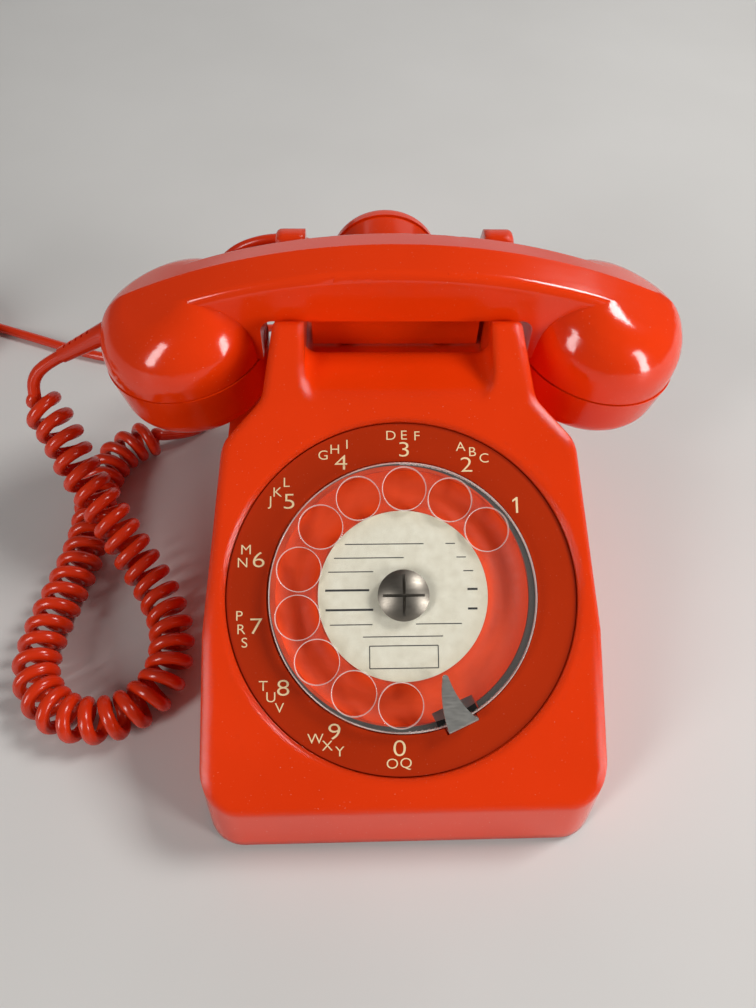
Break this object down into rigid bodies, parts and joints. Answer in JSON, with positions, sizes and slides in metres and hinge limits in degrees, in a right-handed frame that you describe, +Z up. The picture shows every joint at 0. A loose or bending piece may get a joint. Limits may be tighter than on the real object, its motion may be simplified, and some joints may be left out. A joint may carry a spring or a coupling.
{
  "type": "rotary telephone",
  "caption": "Desk telephone with a clear rotary dial on a sloped face, a handset on a cradle with a curly cord, and a second earpiece hung on its back.",
  "frame": {"origin": "on the table under the middle of the telephone, cords left out", "axes": "+Z up, the dial faces -Y, +X to the right of someone who dials"},
  "size_m": [0.4309, 0.2991, 0.1356],
  "materials": {
    "orange_shell": "glossy moulded orange-red",
    "orange_ring": "glossy moulded orange-red, deeper",
    "orange_cord": "satin flexible orange-red",
    "orange_hook": "glossy moulded orange-red",
    "clear_wheel": "clear polished",
    "cream_card": "printed cream card",
    "satin_steel": "satin",
    "plain_steel": "plain",
    "dark_metal": "dark grey",
    "brass": "plain",
    "bell_metal": "polished",
    "black_rubber": "matt black",
    "dark_plastic": "matt dark",
    "board_brown": "laminate",
    "copper_winding": "enamelled wire",
    "can_metal": "plain"
  },
  "bodies": {
    "base": {"base_plate": "dark_metal", "rubber_feet": "black_rubber", "housing": "orange_shell", "housing_screws": "plain_steel", "earpiece_hook": "plain_steel", "number_ring": "orange_ring", "dial_dish": "orange_ring", "dial_rim": "dark_metal", "finger_stop": "satin_steel", "dial_frame": "plain_steel", "dial_screws": "plain_steel", "governor_cup": "brass", "impulse_contacts": "plain_steel", "return_spring": "plain_steel", "gear_bridge": "plain_steel", "circuit_board": "board_brown", "induction_coil": "copper_winding", "capacitor": "can_metal", "terminal_block": "dark_plastic", "terminal_screws": "plain_steel", "ringer_frame": "plain_steel", "ringer_coils": "copper_winding", "gong_left": "bell_metal", "gong_right": "bell_metal", "gong_screws": "plain_steel", "hook_bracket": "plain_steel", "hook_contacts": "dark_plastic", "hook_spring": "plain_steel", "cord_grommets": "orange_cord", "handset_cord": "orange_cord", "line_cord": "orange_cord", "line_cord_coil": "orange_cord", "earpiece_cord": "orange_cord", "earpiece_cord_coil": "orange_cord", "coil_ties": "black_rubber", "line_plug": "orange_cord", "plug_pins": "satin_steel"},
    "handset": {"handset_shell": "orange_shell", "ear_cap": "orange_shell", "mouth_cap": "orange_shell", "receiver_capsule": "can_metal", "microphone_capsule": "dark_plastic", "handset_boot": "orange_cord"},
    "dial": {"finger_wheel": "clear_wheel", "label_card": "cream_card", "center_screw": "satin_steel", "main_shaft": "plain_steel", "main_gear": "brass"},
    "pulse": {"pulse_gear": "brass", "impulse_cam": "dark_plastic"},
    "governor": {"governor_shaft": "plain_steel", "governor_weights": "brass"},
    "hook": {"hook_bar": "orange_hook"},
    "lever": {"hook_lever": "plain_steel"},
    "striker": {"clapper": "plain_steel"},
    "earpiece": {"earpiece_shell": "orange_shell", "earpiece_cap": "orange_shell", "earpiece_capsule": "can_metal", "earpiece_boot": "orange_cord"}
  },
  "joints": [
    {"name": "handset_lift", "type": "slide", "parent": "base", "child": "handset", "axis": [0, 0, 1], "range_m": [0, 0.09], "deforming": ["handset_cord"]},
    {"name": "hook_rise", "type": "slide", "parent": "base", "child": "hook", "axis": [0, 0, 1], "range_m": [0, 0.0061]},
    {"name": "hook_lever_turn", "type": "hinge", "parent": "base", "child": "lever", "pos_m": [0, 0.08, 0.0742], "axis": [-1, 0, 0], "range_deg": [0, 15.5], "deforming": ["hook_spring"]},
    {"name": "dial_turn", "type": "hinge", "parent": "base", "child": "dial", "pos_m": [0, -0.048, 0.067], "axis": [0, 0.4909, -0.8712], "range_deg": [0, 315], "stiffness_Nm_per_rad": 0.002},
    {"name": "pulse_turn", "type": "hinge", "parent": "base", "child": "pulse", "pos_m": [0, -0.0228, 0.0812], "axis": [0, 0.4909, -0.8712], "range_deg": [-1580, 0]},
    {"name": "governor_spin", "type": "hinge", "parent": "base", "child": "governor", "pos_m": [0.01812, -0.0228, 0.0812], "axis": [0, 0.4909, -0.8712], "range_deg": [0, 6320]},
    {"name": "clapper_swing", "type": "hinge", "parent": "base", "child": "striker", "pos_m": [0, 0.0575, 0.02], "axis": [0, 0, 1], "range_deg": [-3.5, 3.5], "stiffness_Nm_per_rad": 0.01},
    {"name": "earpiece_lift", "type": "slide", "parent": "base", "child": "earpiece", "axis": [0, 0, 1], "range_m": [0, 0.06], "deforming": ["earpiece_cord"]}
  ],
  "couplings": [
    {"joint": "hook_rise", "follows": "handset_lift", "ratio": 0.0667},
    {"joint": "hook_lever_turn", "follows": "handset_lift", "rad_per_m": 2.9089},
    {"joint": "pulse_turn", "follows": "dial_turn", "ratio": -5},
    {"joint": "governor_spin", "follows": "dial_turn", "ratio": 20}
  ]
}
